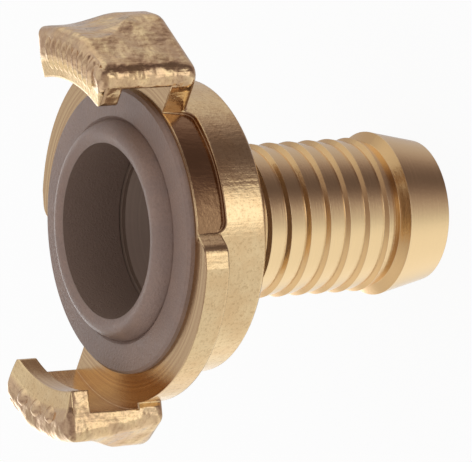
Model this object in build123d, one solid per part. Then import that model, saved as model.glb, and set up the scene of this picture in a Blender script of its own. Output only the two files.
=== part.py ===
"""Quarter turn hose coupling with a ribbed hose tail.

One hot-forged and turned brass body, and one rubber seal pressed into it.
The axis is +Z, the hose end stands on z = 0 and the two hooked claws point
upwards, centred on the X axis. Millimetres and degrees throughout.
"""
import os
from math import cos, radians, sin

from build123d import *

# ---- hose tail -------------------------------------------------------------
tail_length = 33.0              # end face to the rear face of the hub
tail_bore_radius = 7.25
tail_end_radius = 9.13          # outside, at the very end
end_barb_radius = 10.6          # crest of the large barb that holds the hose
end_barb_length = 6.6           # from the end face to that crest
end_barb_back = 0.9             # axial length of the steep side behind it
neck_radius = 9.35              # plain neck behind the large barb
small_barb_radius = 9.96        # crests of the small barbs
small_barb_depth = 0.46         # crest to groove
small_barb_pitch = 2.92
small_barb_steep = 0.45         # axial length of the steep side of a small barb
first_small_barb = 9.5          # height of the first small crest
tail_mouth_chamfer = 0.5

# ---- claw spacing, which fits the mating coupling ---------------------------
claw_count = 2
claw_spacing = 40.0             # across the inner faces of opposite lips
lip_clearance = 1.24            # from a mating lip to the hub inside it

# ---- hub -------------------------------------------------------------------
hub_depth = 10.3                # rear face to the turned front face
hub_edge_chamfer = 0.35
tail_root_chamfer = 0.7

# ---- claws -----------------------------------------------------------------
claw_angle = 42.0               # between the two sides of a claw
slot_depth = 2.9                # turned slot behind a lip
slot_width = 7.0                # front face to the back of a lip
lip_thickness = 2.5             # at its inner edge
lip_dome = 0.9                  # how much higher the lip is further out
lip_dome_inset = 2.7            # from the outside of the nose to the top of the dome
lip_corner = 0.8                # rounds the lip where the mating lip comes in
claw_wall = 5.1                 # from the slot to the outside, over the root
claw_nose_draw = 1.5            # how far the nose is drawn in
claw_root = 4.1                 # how far a claw reaches behind the front face
claw_front_round = 1.4
claw_back_round = 1.5
claw_side_drop = 2.5            # from the crown to the side that faces a recess
claw_side_round = 2.2
claw_crown_angle = 8.0          # of the highest part of the outside
claw_crown_round = 3.0
claw_lug_facet = 9.5            # degrees from the crown to the side that faces a lug
claw_lug_side_drop = 1.3        # from the crown to the side that faces a lug
claw_lug_side_round = 1.6
claw_heel_drop = 0.5            # how much lower the recess side is at the back
claw_lug_heel_drop = 2.2        # and the lug side
claw_hold = 2.5                 # how deep claws and lugs are rooted in the hub

# ---- recesses, where the mating lips are put in -----------------------------
recess_length = 4.4
recess_depth = 0.55             # at its blind end
recess_corner = 1.5

# ---- cam lugs, which the mating claws climb --------------------------------
lug_angle = 84.0                # from the tip of a lug to the side of a claw
lug_overlap = 3.0               # degrees that a lug runs into the claw
lug_thickness = 3.5
lug_tip_thickness = 0.5
lug_ramp_angle = 25.0           # over which the back of a lug ramps down
lug_lead_rise = 1.94            # above the hub, at the end of the steep lead-in
lug_lead_angle = 5.0
lug_lead_round = 2.0
lug_shoulder_rise = 2.44        # at the end of the rounded shoulder
lug_shoulder_angle = 12.0
lug_end_rise = 3.39             # at the claw
lug_tip_sink = 0.1              # tip of a lug under the surface of the hub

# ---- seal ------------------------------------------------------------------
seal_inset = 0.38               # from the edge of the hub to the rim of the seal
seal_rim_height = 0.95          # rim above the front face of the brass
seal_rim_chamfer = 0.35
seal_bead_inset = 4.18          # from the edge of the rim to the bead
seal_bead_width = 2.93          # from there to the hole
seal_bead_crest = 0.42          # share of that width from the hole to the crest
seal_bead_height = 1.94         # bead above the rim
seal_bead_groove = 0.3
seal_groove_width = 0.4
seal_lip_drop = 0.45            # edge of the hole below the top of the bead
seal_foot_inset = 1.98          # from the edge of the rim to the snap-in foot
seal_foot_height = 1.8
seal_stem_inset = 1.2           # from the foot to the stem above it
seal_stem_depth = 4.2
seal_clearance = 0.15

# ---- water chamber under the seal --------------------------------------------
chamber_inset = 0.47            # from the hole of the seal to the chamber
chamber_depth = 6.5             # from the front face to the funnel
funnel_depth = 4.2              # of the funnel into the tail bore

# ---- worked out from the sizes above ----------------------------------------
front_z = tail_length + hub_depth
lip_back_z = front_z + slot_width
lip_front_z = lip_back_z + lip_thickness
lip_top_z = lip_front_z + lip_dome
claw_back_z = front_z - claw_root
lip_radius = claw_spacing / 2
hub_radius = lip_radius - lip_clearance
slot_radius = lip_radius + slot_depth
claw_radius = slot_radius + claw_wall
nose_radius = claw_radius - claw_nose_draw
hold_radius = hub_radius - claw_hold
claw_step = 360 / claw_count
claw_side = -claw_angle / 2     # angle of the side that faces a recess
lug_tip = claw_angle / 2 - claw_step + lug_angle
recess_angle = claw_step - claw_angle - lug_angle
seal_radius = hub_radius - seal_inset
seal_bead_radius = seal_radius - seal_bead_inset
seal_hole_radius = seal_bead_radius - seal_bead_width
seal_foot_radius = seal_radius - seal_foot_inset
seal_stem_radius = seal_foot_radius - seal_stem_inset
seat_depth = seal_stem_depth + seal_foot_height
chamber_radius = seal_hole_radius - chamber_inset
chamber_z = front_z - chamber_depth


def at(radius, angle):
    """Point of the front view at a radius and an angle from the X axis."""
    return Vector(radius * cos(radians(angle)), radius * sin(radians(angle)))


def section(points):
    """Flat face of a closed outline of (radius, height) points."""
    return make_face(Polyline(*[(r, 0, z) for r, z in points], close=True))


def outline_face(*parts):
    """Flat face of a closed outline of lines and curves."""
    return make_face([e for part in parts for e in part.edges()])


def near(shape, point):
    """Corner of a shape nearest to a point."""
    return min(shape.vertices(), key=lambda v: (v.center() - point).length)


def prism(face, low, high):
    """Prism of a front view face between two heights."""
    return Pos(0, 0, low) * extrude(face, high - low)


def patterned(solid):
    """Copies of a solid, one for each claw."""
    return [Rot(0, 0, i * claw_step) * solid for i in range(claw_count)]


def tail_outline():
    """Outside of the hose tail, from the end face up to the hub."""
    groove_radius = small_barb_radius - small_barb_depth
    points = [
        (tail_end_radius, 0),
        (end_barb_radius, end_barb_length),
        (neck_radius, end_barb_length + end_barb_back),
    ]
    crest = first_small_barb
    while crest + small_barb_steep + tail_root_chamfer < tail_length:
        points.append((small_barb_radius, crest))
        points.append((groove_radius, crest + small_barb_steep))
        crest += small_barb_pitch
    points.append((groove_radius, tail_length - tail_root_chamfer))
    points.append((groove_radius + tail_root_chamfer, tail_length))
    return points


def round_blank():
    """Hose tail and hub as one round blank."""
    return revolve(
        section([
            (0, 0),
            *tail_outline(),
            (hub_radius - hub_edge_chamfer, tail_length),
            (hub_radius, tail_length + hub_edge_chamfer),
            (hub_radius, front_z),
            (0, front_z),
        ]),
        Axis.Z,
    )


def claw_outline(side_drop, lug_side_drop):
    """Front view of a claw between its two sides, with rounded corners."""
    side_corner = at(claw_radius - side_drop, claw_side)
    lug_corner = at(claw_radius - lug_side_drop, -claw_side)
    crown_stop = -claw_side - claw_lug_facet
    crown = [at(claw_radius, crown_stop - claw_crown_angle), at(claw_radius, crown_stop)]
    root = [at(hold_radius, claw_side), at(hold_radius, -claw_side)]
    face = make_face(Polyline(root[0], side_corner, *crown, lug_corner, root[1], close=True))
    face = fillet(near(face, side_corner), claw_side_round)
    face = fillet(near(face, lug_corner), claw_lug_side_round)
    return fillet([near(face, point) for point in crown], claw_crown_round)


def claw():
    """Forged claw before turning: lofted block, drawn in at its nose."""
    heel = claw_outline(claw_side_drop + claw_heel_drop, claw_lug_side_drop + claw_lug_heel_drop)
    front = claw_outline(claw_side_drop, claw_lug_side_drop)
    block = loft([Pos(0, 0, claw_back_z) * heel, Pos(0, 0, lip_top_z) * front], ruled=True)
    block = fillet(outer_rim(block, claw_back_z), claw_back_round)
    block = fillet(outer_rim(block, lip_top_z), claw_front_round)
    return block & claw_envelope()


def outer_rim(block, height):
    """Edges of a claw block at one height, but for the straight one in the hub."""
    level = block.edges().filter_by_position(Axis.Z, height, height)
    inner = level.sort_by_distance(Vector(0, 0, height))[0]
    return [e for e in level if e != inner]


def claw_envelope():
    """Round outside of a claw: wide over the root, drawn in at the nose, domed front."""
    inside = hold_radius - 1
    below = claw_back_z - 1
    bend = claw_front_round
    nose = Vector(nose_radius - bend, lip_top_z - bend)
    profile = outline_face(
        Polyline((inside, below), (claw_radius, below), (claw_radius, front_z)),
        Spline((claw_radius, front_z), (nose_radius, lip_back_z), tangents=((0, 1), (0, 1))),
        Line((nose_radius, lip_back_z), (nose_radius, lip_top_z - bend)),
        CenterArc(nose, bend, 0, 90),
        Polyline(
            (nose_radius - bend, lip_top_z),
            (nose_radius - lip_dome_inset, lip_top_z),
            (lip_radius, lip_front_z),
            (inside, lip_front_z),
            (inside, below),
        ),
    )
    return revolve(Plane.XZ * profile, Axis.Z)


def lip_corner_tool():
    """Rounds the lip where a mating lip comes in, from the bore to the side."""
    outer = claw_radius + 1
    edge = [at(lip_radius, claw_side), at(lip_radius, 0), at(lip_radius, -claw_side)]
    lip = outline_face(
        ThreePointArc(*edge),
        Line(edge[2], at(outer, -claw_side)),
        ThreePointArc(at(outer, -claw_side), at(outer, 0), at(outer, claw_side)),
        Line(at(outer, claw_side), edge[0]),
    )
    rounded = fillet(near(lip, edge[0]), lip_corner)
    return prism(lip - rounded, lip_back_z, lip_top_z)


def lug():
    """Cam lug: steep lead-in, rounded shoulder, slowly growing radius, ramped back."""
    end = lug_tip - lug_angle - lug_overlap
    middle = (end + lug_tip) / 2
    tip = at(hub_radius - lug_tip_sink, lug_tip)
    lead = at(hub_radius + lug_lead_rise, lug_tip - lug_lead_angle)
    shoulder = at(hub_radius + lug_shoulder_rise, lug_tip - lug_shoulder_angle)
    crest = at(hub_radius + (lug_shoulder_rise + lug_end_rise) / 2, middle)
    heel = at(hub_radius + lug_end_rise, end)
    inside = [at(hold_radius, angle) for angle in (end, middle, lug_tip)]
    front = outline_face(
        Polyline(inside[2], tip, lead, shoulder),
        ThreePointArc(shoulder, crest, heel),
        Line(heel, inside[0]),
        ThreePointArc(*inside),
    )
    front = fillet(near(front, lead), lug_lead_round)
    return prism(front, front_z - lug_thickness, front_z) - ramp_tool()


def ramp_tool():
    """Wedge that leaves the back of a lug ramped from its thin tip."""
    along = (hub_radius + lug_end_rise) * radians(lug_ramp_angle)
    rise = lug_thickness - lug_tip_thickness
    low = -2 * rise
    wedge = make_face(Polyline((along, -rise), (-along, rise), (-along, low), (along, low), close=True))
    middle = radians(lug_tip - lug_ramp_angle / 2)
    outward = Plane(
        origin=(0, 0, front_z - lug_tip_thickness),
        x_dir=(sin(middle), -cos(middle), 0),
        z_dir=(cos(middle), sin(middle), 0),
    )
    return extrude(outward * Pos(-along / 2, 0) * wedge, claw_radius)


def recess_tool():
    """Shallow forged pocket with a tapered floor and rounded blind corners."""
    end_z = front_z - recess_length
    face = section([
        (hub_radius - recess_depth, end_z),
        (hub_radius + 1, end_z),
        (hub_radius + 1, front_z + 1),
        (hub_radius, front_z + 1),
        (hub_radius, front_z),
    ])
    sector = revolve(face, Axis.Z, revolution_arc=recess_angle)
    ends = sector.edges().filter_by_position(Axis.Z, end_z, end_z).filter_by(GeomType.LINE)
    return Rot(0, 0, claw_side - recess_angle) * fillet(ends, recess_corner)


def turned_face():
    """What the lathe takes off the front: flat face, claw slots, lip bores."""
    above = lip_top_z + 1
    return revolve(
        section([
            (0, front_z),
            (slot_radius, front_z),
            (slot_radius, lip_back_z),
            (lip_radius, lip_back_z),
            (lip_radius, above),
            (0, above),
        ]),
        Axis.Z,
    )


def waterway():
    """Seat and undercut of the seal, chamber, funnel and tail bore."""
    throat_z = chamber_z - funnel_depth
    seat_radius = seal_stem_radius + seal_clearance
    undercut_radius = seal_foot_radius + seal_clearance
    return revolve(
        section([
            (0, 0),
            (tail_bore_radius + tail_mouth_chamfer, 0),
            (tail_bore_radius, tail_mouth_chamfer),
            (tail_bore_radius, throat_z),
            (chamber_radius, chamber_z),
            (chamber_radius, front_z - seat_depth),
            (undercut_radius, front_z - seat_depth),
            (undercut_radius, front_z - seal_stem_depth),
            (seat_radius, front_z - seal_stem_depth),
            (seat_radius, front_z),
            (0, front_z),
        ]),
        Axis.Z,
    )


def coupling_body():
    """The forging with everything that is turned out of it."""
    forging = round_blank() - patterned(recess_tool())
    forging += patterned(lug())
    forging += patterned(claw())
    return forging - turned_face() - patterned(lip_corner_tool()) - waterway()


def seal_ring():
    """Rubber seal: bead round the hole, flat rim on the brass, snap-in foot."""
    rim_z = front_z + seal_rim_height
    bead_z = rim_z + seal_bead_height
    foot_z = front_z - seat_depth + seal_clearance
    stem_z = front_z - seal_stem_depth - seal_clearance
    groove = (seal_bead_radius, rim_z - seal_bead_groove)
    crest = (seal_hole_radius + seal_bead_crest * seal_bead_width, bead_z)
    lip = (seal_hole_radius, bead_z - seal_lip_drop)
    profile = outline_face(
        Spline(groove, crest, lip),
        Polyline(
            lip,
            (seal_hole_radius, foot_z),
            (seal_foot_radius, foot_z),
            (seal_foot_radius, stem_z),
            (seal_stem_radius, stem_z),
            (seal_stem_radius, front_z),
            (seal_radius, front_z),
            (seal_radius, rim_z - seal_rim_chamfer),
            (seal_radius - seal_rim_chamfer, rim_z),
            (seal_bead_radius + seal_groove_width, rim_z),
            groove,
        ),
    )
    return revolve(Plane.XZ * profile, Axis.Z)


os.makedirs("parts", exist_ok=True)
for name, solid in (("coupling_body", coupling_body()), ("seal_ring", seal_ring())):
    export_step(solid, f"parts/{name}.step")
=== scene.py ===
from math import cos, exp, hypot, pi, radians, sin

import bpy
from mathutils import Matrix, Vector


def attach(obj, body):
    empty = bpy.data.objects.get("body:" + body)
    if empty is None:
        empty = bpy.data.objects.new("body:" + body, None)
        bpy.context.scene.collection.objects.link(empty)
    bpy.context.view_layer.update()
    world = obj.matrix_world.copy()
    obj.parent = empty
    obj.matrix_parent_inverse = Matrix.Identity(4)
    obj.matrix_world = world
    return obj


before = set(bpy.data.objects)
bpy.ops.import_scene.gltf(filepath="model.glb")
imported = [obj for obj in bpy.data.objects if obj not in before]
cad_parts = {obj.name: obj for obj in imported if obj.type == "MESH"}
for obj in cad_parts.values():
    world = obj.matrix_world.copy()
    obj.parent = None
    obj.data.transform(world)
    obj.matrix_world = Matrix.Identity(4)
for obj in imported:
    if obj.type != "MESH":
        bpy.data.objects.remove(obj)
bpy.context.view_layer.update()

# ---- Studio -------------------------------------------------------------------
# The coupling stands on its hose end on a sheet of white paper. A long lens looks
# down on the claw end, turned so that the waterway lies across the picture.

millimetre = 0.001
claw_turn = radians(71)


def seen_from(side, up, axis):
    """Direction given along the coupling's side, its upper side in view, and its axis."""
    return Vector((
        side * cos(claw_turn) + up * sin(claw_turn),
        up * cos(claw_turn) - side * sin(claw_turn),
        axis,
    ))


look = seen_from(-0.86409, 0.0, -0.50334)
top = seen_from(0.03436, 0.99767, -0.05898)
right = look.cross(top)
stand = Vector((0.2881, -0.8402, 0.54405))

lens = bpy.data.cameras.new("long_lens")
lens.lens = 610.2
lens.sensor_width = 36
lens.clip_start = 0.1
lens.clip_end = 20
camera = bpy.data.objects.new("camera", lens)
camera.matrix_world = Matrix.Translation(stand) @ Matrix((right, top, -look)).transposed().to_4x4()
bpy.context.scene.collection.objects.link(camera)
bpy.context.scene.camera = camera

paper_size = 1.5
paper_white = (0.8, 0.8, 0.8, 1)
paper_roughness = 0.9
paper_glow = 0.93
paper_mesh = bpy.data.meshes.new("paper")
corners = [(-1, -1), (1, -1), (1, 1), (-1, 1)]
paper_mesh.from_pydata([(x * paper_size, y * paper_size, 0) for x, y in corners], [], [(0, 1, 2, 3)])
paper = bpy.data.objects.new("paper", paper_mesh)
bpy.context.scene.collection.objects.link(paper)
paper.visible_glossy = False


def add(tree, kind, inputs=None, **settings):
    """New shader node with its settings, and values or links for its inputs."""
    node = tree.nodes.new(kind)
    for name, value in settings.items():
        setattr(node, name, value)
    for key, value in (inputs or {}).items():
        if isinstance(value, bpy.types.NodeSocket):
            tree.links.new(value, node.inputs[key])
        else:
            node.inputs[key].default_value = value
    return node


def reckon(tree, operation, *values):
    """One sum worked out at each point of a surface."""
    return add(tree, "ShaderNodeMath", dict(enumerate(values)), operation=operation).outputs[0]


def plus(tree, first, *others):
    """All the values added up."""
    for other in others:
        first = reckon(tree, "ADD", first, other)
    return first


def times(tree, first, *others):
    """All the values multiplied."""
    for other in others:
        first = reckon(tree, "MULTIPLY", first, other)
    return first


def white_paper():
    """Paper that shows white to the camera and still holds a soft shadow."""
    material = bpy.data.materials.new("white_paper")
    material.use_nodes = True
    tree = material.node_tree
    sheet = tree.nodes["Principled BSDF"]
    sheet.inputs["Base Color"].default_value = paper_white
    sheet.inputs["Roughness"].default_value = paper_roughness
    glow = add(tree, "ShaderNodeEmission", {"Color": (1, 1, 1, 1), "Strength": 1.0})
    rays = add(tree, "ShaderNodeLightPath")
    part = times(tree, rays.outputs["Is Camera Ray"], paper_glow)
    both = add(tree, "ShaderNodeMixShader", {0: part, 1: sheet.outputs[0], 2: glow.outputs[0]})
    tree.links.new(both.outputs[0], tree.nodes["Material Output"].inputs["Surface"])
    return material


paper_mesh.materials.append(white_paper())

# Each window is a direction, the cosine at which its light starts, and its strength.
# The ones below zero are dark screens.
windows = [
    (seen_from(0.79, -0.61, 0.10), -0.68, 0.85),
    (seen_from(-0.76, 0.64, -0.08), -0.19, 0.64),
    (seen_from(-0.20, -0.95, -0.22), -0.03, 0.84),
    (seen_from(0.33, -0.94, -0.09), 0.51, -0.75),
    (seen_from(0.88, 0.17, -0.43), 0.93, 0.95),
    (seen_from(0.50, 0.70, -0.51), 0.70, -0.16),
    (seen_from(0.39, -0.92, 0.15), 0.75, -0.25),
    (seen_from(0.93, 0.10, 0.35), 0.55, -0.35),
    (seen_from(-0.97, -0.22, -0.10), 0.82, 0.55),
    (seen_from(-0.86, 0.05, 0.50), 0.75, 0.16),
    (seen_from(-0.12, 0.98, 0.12), 0.68, 0.42),
    (seen_from(-0.98, -0.12, -0.12), 0.93, 1.20),
    (seen_from(-0.20, 0.35, 0.91), 0.72, 0.45),
]
far_walls = -0.06
darkest_wall = 0.13
even_light = 0.85
dark_tint = (1.0, 0.77, 0.80, 1)


def studio_light():
    """Even light on the paper and the rubber, soft windows and dark walls in the metal."""
    world = bpy.data.worlds.new("studio")
    world.use_nodes = True
    tree = world.node_tree
    direction = add(tree, "ShaderNodeTexCoord").outputs["Generated"]
    level = far_walls
    for toward, edge, strength in windows:
        facing = add(
            tree, "ShaderNodeVectorMath", {0: direction, 1: toward}, operation="DOT_PRODUCT"
        ).outputs["Value"]
        soft = add(
            tree,
            "ShaderNodeMapRange",
            {"Value": facing, "From Min": edge, "From Max": 1.0, "To Max": strength},
            interpolation_type="SMOOTHSTEP",
        ).outputs["Result"]
        level = plus(tree, soft, level)
    level = reckon(tree, "MAXIMUM", level, darkest_wall)
    rays = add(tree, "ShaderNodeLightPath")
    seen = add(
        tree,
        "ShaderNodeMix",
        {"Factor": rays.outputs["Is Glossy Ray"], "A": even_light, "B": level},
        data_type="FLOAT",
    ).outputs["Result"]
    strength = reckon(tree, "MAXIMUM", rays.outputs["Is Camera Ray"], seen)
    tree.links.new(strength, tree.nodes["Background"].inputs["Strength"])
    warmth = add(
        tree,
        "ShaderNodeMapRange",
        {"Value": strength, "From Min": 0.1, "From Max": 0.8},
        interpolation_type="SMOOTHSTEP",
    ).outputs["Result"]
    colour = add(
        tree,
        "ShaderNodeMix",
        {"Factor": warmth, "A": dark_tint, "B": (1, 1, 1, 1)},
        data_type="RGBA",
    ).outputs["Result"]
    tree.links.new(colour, tree.nodes["Background"].inputs["Color"])
    return world


bpy.context.scene.world = studio_light()
bpy.context.scene.view_settings.view_transform = "Standard"

# ---- Brass body ---------------------------------------------------------------
# One hot forging of bare brass, tumbled after forging: soft edges and a fine grain on
# the claws, lugs and hub. The tail, slots, lips and front face are turned bright.

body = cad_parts["coupling_body"]
hub_start = 33.0 * millimetre
front_height = 43.3 * millimetre
slot_radius = 22.9 * millimetre
hub_radius = 18.76 * millimetre
lip_radius = 20.0 * millimetre
lip_height = 52.8 * millimetre
claw_side_slope = 0.3805
claw_inner_radius = 22.4 * millimetre
recess_floor = 38.8 * millimetre
tail_wall_radius = 7.6 * millimetre

pale_brass = (0.88, 0.665, 0.38, 1)
forged_brown = (0.80, 0.56, 0.30, 1)
tarnish_brown = (0.60, 0.38, 0.24, 1)
pit_brown = (0.42, 0.25, 0.11, 1)
tail_brass = (0.88, 0.62, 0.32, 1)
# painted shade for the rib flanks of the tail
flank_painted_shade = (0.58, 0.34, 0.14, 1)
# paler rubbed brass for turned edges, partly a painted highlight
rubbed_edge_and_highlight = (1.0, 0.86, 0.62, 1)
# painted shade for the claw fronts that face up
claw_front_painted_shade = (0.55, 0.37, 0.26, 1)
scored_copper = (0.56, 0.36, 0.20, 1)
# painted shade for the recesses below the front face
recess_painted_shade = (0.42, 0.25, 0.13, 1)
stain_dark = (0.17, 0.112, 0.080, 1)
stain_pale = (0.31, 0.215, 0.165, 1)


def step(tree, value, edge, width=0.1 * millimetre):
    """0 below an edge and 1 above it, with a narrow soft change."""
    node = add(
        tree,
        "ShaderNodeMapRange",
        {"Value": value, "From Min": edge - width, "From Max": edge + width},
        interpolation_type="SMOOTHSTEP",
    )
    return node.outputs["Result"]


def less(tree, value):
    """What is left of 1, so that one region becomes all the rest."""
    return reckon(tree, "SUBTRACT", 1.0, value)


def noise(tree, vector, scale, detail=3.0, roughness=0.55):
    """Fine or coarse noise over the surface."""
    node = add(
        tree,
        "ShaderNodeTexNoise",
        {"Vector": vector, "Scale": scale, "Detail": detail, "Roughness": roughness},
    )
    return node.outputs["Fac"]


def blend(tree, factor, first, second):
    """One colour turning into another."""
    node = add(tree, "ShaderNodeMix", {"Factor": factor}, data_type="RGBA")
    for key, colour in (("A", first), ("B", second)):
        if isinstance(colour, bpy.types.NodeSocket):
            tree.links.new(colour, node.inputs[key])
        else:
            node.inputs[key].default_value = colour
    return node.outputs["Result"]


def from_axis(tree, x, y):
    """Distance from the axis of the waterway."""
    return reckon(tree, "SQRT", plus(tree, times(tree, x, x), times(tree, y, y)))


def brass_material():
    """Bare brass: forged grain outside, turning lines where the lathe has been."""
    material = bpy.data.materials.new("forged_brass")
    material.use_nodes = True
    tree = material.node_tree
    metal = tree.nodes["Principled BSDF"]
    place = add(tree, "ShaderNodeTexCoord").outputs["Object"]
    x, y, z = add(tree, "ShaderNodeSeparateXYZ", {0: place}).outputs
    radius = from_axis(tree, x, y)

    # the lathe has cut the tail, the slots, the lips and the front face
    above_tail = step(tree, z, hub_start + 0.1 * millimetre)
    outside = step(tree, radius, hub_radius - 1.2 * millimetre)
    above_face = step(tree, z, front_height - 0.15 * millimetre)
    beyond_slot = step(tree, radius, slot_radius + 0.1 * millimetre)
    over_lip = step(tree, z, lip_height - 0.1 * millimetre)
    beyond_lip = step(tree, radius, lip_radius + 0.1 * millimetre)
    lip_front = times(tree, over_lip, beyond_lip)
    across = reckon(tree, "ABSOLUTE", y)
    out = reckon(tree, "MAXIMUM", reckon(tree, "ABSOLUTE", x), 1.0 * millimetre)
    slope = reckon(tree, "DIVIDE", across, out)
    over_face = reckon(tree, "GREATER_THAN", z, front_height + 0.3 * millimetre)
    claw_side = times(tree, over_face, reckon(tree, "GREATER_THAN", slope, claw_side_slope))
    untouched = reckon(tree, "MAXIMUM", reckon(tree, "MAXIMUM", beyond_slot, lip_front), claw_side)
    turned_front = times(tree, above_face, less(tree, untouched))
    forged = times(tree, above_tail, outside, less(tree, turned_front))
    turned = less(tree, forged)

    # grain of the forging: soft waves and lumps, fine pits, streaks along the hub
    waves = noise(tree, place, 300, 0.6)
    lumps = noise(tree, place, 760, 1.2)
    pits = noise(tree, place, 2400, 3.0, 0.65)
    stretched = add(
        tree, "ShaderNodeVectorMath", {0: place, 1: (1.0, 1.0, 0.10)}, operation="MULTIPLY"
    ).outputs[0]
    streaks = noise(tree, stretched, 1900, 2.0, 0.6)
    claws = reckon(tree, "MAXIMUM", step(tree, radius, claw_inner_radius, 0.5 * millimetre), claw_side)
    rough = plus(tree, times(tree, waves, 5.5), times(tree, lumps, 1.7))
    grain = times(tree, rough, plus(tree, times(tree, claws, 0.88), 0.12))
    grain = plus(tree, grain, times(tree, pits, 0.26), times(tree, streaks, 0.25))
    grain = times(tree, grain, forged)

    # turning lines run round the axis, so they depend on height and radius alone
    lines = add(
        tree,
        "ShaderNodeTexNoise",
        {"W": times(tree, plus(tree, z, radius), 2300), "Scale": 1.0, "Detail": 4.0, "Roughness": 0.7},
        noise_dimensions="1D",
    ).outputs["Fac"]
    cuts = times(tree, plus(tree, times(tree, lines, 0.16), times(tree, pits, 0.10)), turned)
    height = plus(tree, grain, cuts)
    forged_edge = add(tree, "ShaderNodeBevel", {"Radius": 0.35 * millimetre}, samples=8).outputs[0]
    turned_edge = add(tree, "ShaderNodeBevel", {"Radius": 0.08 * millimetre}, samples=6).outputs[0]
    soft_edge = add(
        tree, "ShaderNodeMix", {"Factor": forged, "A": turned_edge, "B": forged_edge}, data_type="VECTOR"
    ).outputs["Result"]
    relief = add(
        tree, "ShaderNodeBump", {"Height": height, "Distance": 0.1 * millimetre, "Normal": soft_edge}
    ).outputs[0]
    tree.links.new(relief, metal.inputs["Normal"])

    # the forging: paler and browner patches, tarnish on the claws, dark pits
    patches = times(tree, step(tree, noise(tree, place, 170, 4.0, 0.65), 0.5, 0.16), forged)
    tone = blend(tree, patches, pale_brass, forged_brown)
    tarnish = times(tree, step(tree, noise(tree, place, 420, 3.0, 0.6), 0.48, 0.14), claws, 0.5)
    tone = blend(tree, tarnish, tone, tarnish_brown)
    specks = times(tree, step(tree, pits, 0.60, 0.10), times(tree, forged, 0.38))
    tone = blend(tree, specks, tone, pit_brown)

    # the tail: redder brass; the flanks that face up are painted brown as painted shade; the crests are
    # painted pale, partly rubbed brass and partly a painted highlight
    flat = add(tree, "ShaderNodeNewGeometry").outputs["Normal"]
    facing_up = add(tree, "ShaderNodeSeparateXYZ", {0: flat}).outputs["Z"]
    bent = add(
        tree, "ShaderNodeVectorMath", {0: flat, 1: turned_edge}, operation="DOT_PRODUCT"
    ).outputs["Value"]
    # turned edges and crests are painted pale: partly rubbed brass, partly a painted highlight along the
    # edge
    worn_and_highlit = times(tree, less(tree, step(tree, bent, 0.86, 0.06)), turned)
    tail = reckon(tree, "LESS_THAN", z, hub_start)
    # painted shade: the rib flanks of the tail that face up towards the hub are painted brown
    shaded_flanks = times(tree, step(tree, facing_up, 0.4, 0.2), tail)
    tone = blend(tree, times(tree, tail, 0.4), tone, tail_brass)
    tone = blend(tree, times(tree, shaded_flanks, 0.65), tone, flank_painted_shade)
    tone = blend(tree, times(tree, worn_and_highlit, 0.8), tone, rubbed_edge_and_highlight)

    # the fronts of the claws that face up are painted browner as painted shade, the scored front face, and
    # the recesses painted dark as painted shade
    # painted shade: the claw fronts that face up along the axis are painted browner
    claw_front = times(tree, step(tree, facing_up, 0.6, 0.25), claws)
    tone = blend(tree, times(tree, claw_front, 0.45), tone, claw_front_painted_shade)
    scored = times(tree, step(tree, lines, 0.5, 0.22), 0.5)
    fronts = times(tree, turned_front, plus(tree, scored, 0.35))
    tone = blend(tree, fronts, tone, scored_copper)
    # painted shade: the sunken recess below the front face is painted dark brown
    sunken = reckon(tree, "LESS_THAN", radius, hub_radius - 0.04 * millimetre)
    beside_face = reckon(tree, "SUBTRACT", forged, above_face)
    recess = times(tree, sunken, step(tree, z, recess_floor), beside_face)
    tone = blend(tree, reckon(tree, "MAXIMUM", recess, 0.0), tone, recess_painted_shade)

    # the waterway is stained by the water, but not the open end of the tail
    inside = less(tree, step(tree, radius, hub_radius - 2.4 * millimetre, 0.3 * millimetre))
    tail_bore = reckon(tree, "LESS_THAN", radius, tail_wall_radius)
    chamber = reckon(tree, "GREATER_THAN", z, hub_start - 1.0 * millimetre)
    wet = times(tree, inside, reckon(tree, "MAXIMUM", tail_bore, chamber))
    wet = times(tree, wet, step(tree, z, 1.5 * millimetre, 1.0 * millimetre))
    tone = blend(tree, wet, tone, blend(tree, lines, stain_dark, stain_pale))
    tree.links.new(tone, metal.inputs["Base Color"])
    tree.links.new(less(tree, times(tree, wet, 0.8)), metal.inputs["Metallic"])
    dull = plus(tree, times(tree, pits, 0.12), 0.11, times(tree, wet, 0.35))
    tree.links.new(dull, metal.inputs["Roughness"])
    return material


body.data.materials.clear()
body.data.materials.append(brass_material())

# ---- Raised marks on the claws -------------------------------------------------
# Low ribs and studs pressed into the front of each claw by the forging die, in the
# same brass. They are plain: a row of ribs on one claw, three round studs on the other.

mark_height = 0.5 * millimetre
sheet_inner = 20.9 * millimetre
sheet_outer = 25.7 * millimetre
sheet_angle = radians(33)
sheet_rows = 60
sheet_columns = 190
dome_radius = 23.8 * millimetre
dome_height = 53.7 * millimetre
nose_radius = 26.5 * millimetre
nose_round = 1.4 * millimetre
rib_pitch = radians(3.3)
ribs_each_side = 4
rib_width = 0.42 * millimetre
rib_middle = 23.1 * millimetre
rib_reach = 1.9 * millimetre
stud_places = (radians(-9), 0, radians(9))
stud_middle = 23.2 * millimetre
stud_radius = 0.95 * millimetre


def front_height_at(radius):
    """Height of the domed front of a claw at a radius."""
    if radius < dome_radius:
        return lip_height + (dome_height - lip_height) * (radius - lip_radius) / (dome_radius - lip_radius)
    over = max(radius - (nose_radius - nose_round), 0)
    return dome_height - nose_round + (nose_round**2 - over**2) ** 0.5


def rib_rise(radius, angle):
    """Rise of a row of radial ribs, 0 to 1."""
    count = round(angle / rib_pitch)
    if abs(count) > ribs_each_side:
        return 0
    across = (angle - count * rib_pitch) * radius / rib_width
    along = (radius - rib_middle) / rib_reach
    return exp(-across**2) * exp(-along**6)


def stud_rise(radius, angle):
    """Rise of three plain round studs, 0 to 1."""
    rise = 0
    for place in stud_places:
        away = hypot((angle - place) * radius, radius - stud_middle)
        rise = max(rise, exp(-((away / stud_radius) ** 4)))
    return rise


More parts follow.
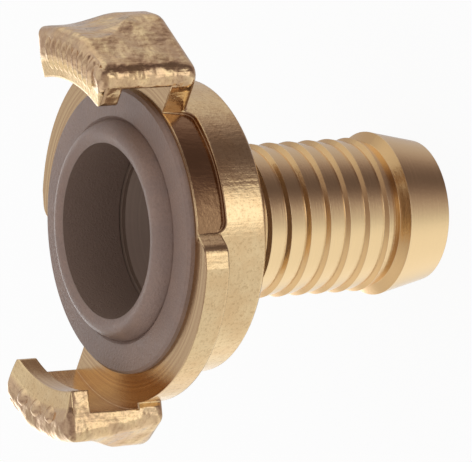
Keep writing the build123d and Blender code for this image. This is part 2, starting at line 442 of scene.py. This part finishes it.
def raised_marks(name, turn, rise_at):
    """Sheet of brass under the front of a claw that comes out of it where a mark is."""
    points = []
    for row in range(sheet_rows + 1):
        radius = sheet_inner + (sheet_outer - sheet_inner) * row / sheet_rows
        for column in range(sheet_columns + 1):
            angle = sheet_angle * (column / sheet_columns - 0.5)
            rise = rise_at(radius, angle)
            sunk = (0.06 + 0.35 * exp(-20 * rise)) * millimetre
            height = front_height_at(radius) + mark_height * rise - sunk
            points.append((radius * cos(turn + angle), radius * sin(turn + angle), height))
    faces = []
    for row in range(sheet_rows):
        for column in range(sheet_columns):
            first = row * (sheet_columns + 1) + column
            faces.append((first, first + sheet_columns + 1, first + sheet_columns + 2, first + 1))
    mesh = bpy.data.meshes.new(name)
    mesh.from_pydata(points, [], faces)
    mesh.materials.append(body.data.materials[0])
    for face in mesh.polygons:
        face.use_smooth = True
    piece = bpy.data.objects.new(name, mesh)
    bpy.context.scene.collection.objects.link(piece)
    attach(piece, "root")


raised_marks("claw_ribs", 0, rib_rise)
raised_marks("claw_studs", pi, stud_rise)

# ---- Seal ---------------------------------------------------------------------
# Moulded rubber ring, snapped into an undercut of the front face by its foot.
# Its flat rim lies on the brass and its bead meets the bead of the mating seal.

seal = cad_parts["seal_ring"]
hole_radius = 11.27 * millimetre
rubber_dark = (0.185, 0.118, 0.090, 1)
rubber_pale = (0.345, 0.225, 0.178, 1)
rubber_dust = (0.20, 0.138, 0.118, 1)
rubber_hole = (0.235, 0.160, 0.126, 1)


def rubber_material():
    """Brown-grey moulded rubber with a dusty sheen."""
    material = bpy.data.materials.new("moulded_rubber")
    material.use_nodes = True
    tree = material.node_tree
    rubber = tree.nodes["Principled BSDF"]
    place = add(tree, "ShaderNodeTexCoord").outputs["Object"]
    x, y, z = add(tree, "ShaderNodeSeparateXYZ", {0: place}).outputs
    radius = from_axis(tree, x, y)
    speckle = noise(tree, place, 2600, 4.0, 0.7)
    dust = times(tree, step(tree, noise(tree, place, 300, 3.0, 0.6), 0.5, 0.15), 0.4)
    hole = less(tree, step(tree, radius, hole_radius + 0.1 * millimetre, 0.1 * millimetre))
    tone = blend(tree, speckle, rubber_dark, rubber_pale)
    tone = blend(tree, dust, tone, rubber_dust)
    tone = blend(tree, hole, tone, rubber_hole)
    tree.links.new(tone, rubber.inputs["Base Color"])
    rubber.inputs["Roughness"].default_value = 0.36
    rubber.inputs["Specular IOR Level"].default_value = 0.6
    skin = add(tree, "ShaderNodeBump", {"Height": speckle, "Distance": 0.13 * millimetre}).outputs[0]
    tree.links.new(skin, rubber.inputs["Normal"])
    return material


seal.data.materials.clear()
seal.data.materials.append(rubber_material())
